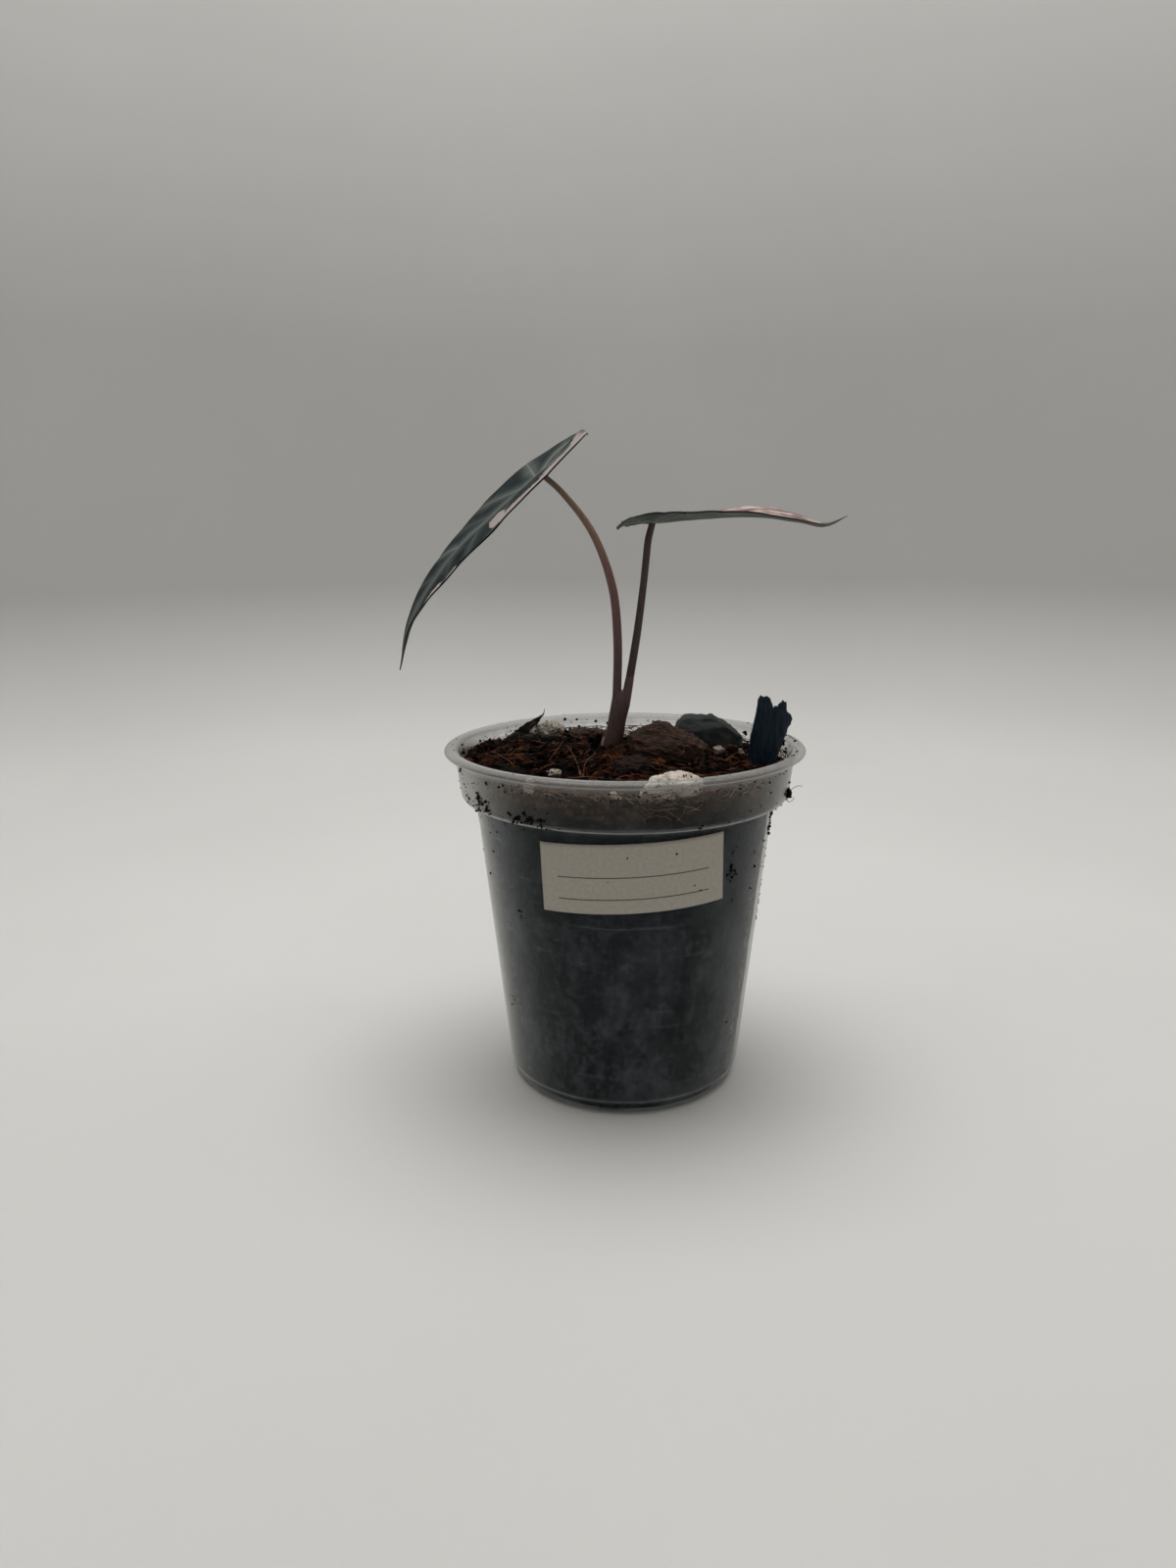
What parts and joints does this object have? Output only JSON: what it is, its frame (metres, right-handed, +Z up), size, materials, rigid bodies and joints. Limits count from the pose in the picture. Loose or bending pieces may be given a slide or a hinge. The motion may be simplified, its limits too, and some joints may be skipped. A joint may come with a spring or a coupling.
{
  "type": "potted bambino alocasia",
  "caption": "Young arrow-leaved aroid with a drooping leaf and a level leaf on slim dark stalks, rooted in coir, bark and charcoal in a clear round nursery pot.",
  "frame": {"origin": "centre of the flat pad under the pot, on the pot's axis, in the plane it stands on", "axes": "+Z up the pot's axis; +X towards the level leaf's tip, -X towards the drooping leaf's tip; the label faces -Y"},
  "size_m": [0.1117, 0.09, 0.1627],
  "materials": {
    "clear_plastic": "clear, slightly hazy",
    "label_paper": "matt",
    "coir_mix": "loose fibre, damp",
    "corm": "matt",
    "petiole": "satin",
    "leaf": "satin",
    "bark": "rough",
    "charcoal": "satin",
    "pumice_stone": "rough, pitted"
  },
  "bodies": {
    "root": {"bark_chip_back": "bark", "bark_chip_front": "bark", "bark_chip_large": "bark", "bark_chip_small": "bark", "bark_shard": "bark", "charcoal_lump": "charcoal", "charcoal_stick": "charcoal", "corm_with_roots": "corm", "growing_mix": "coir_mix", "label": "label_paper", "leaf_left": "leaf", "leaf_right": "leaf", "perlite_1": "pumice_stone", "perlite_2": "pumice_stone", "perlite_3": "pumice_stone", "perlite_4": "pumice_stone", "perlite_5": "pumice_stone", "perlite_6": "pumice_stone", "perlite_7": "pumice_stone", "petiole_left": "petiole", "petiole_right": "petiole", "pot": "clear_plastic", "pumice_back": "pumice_stone", "pumice_front": "pumice_stone"}
  },
  "joints": []
}
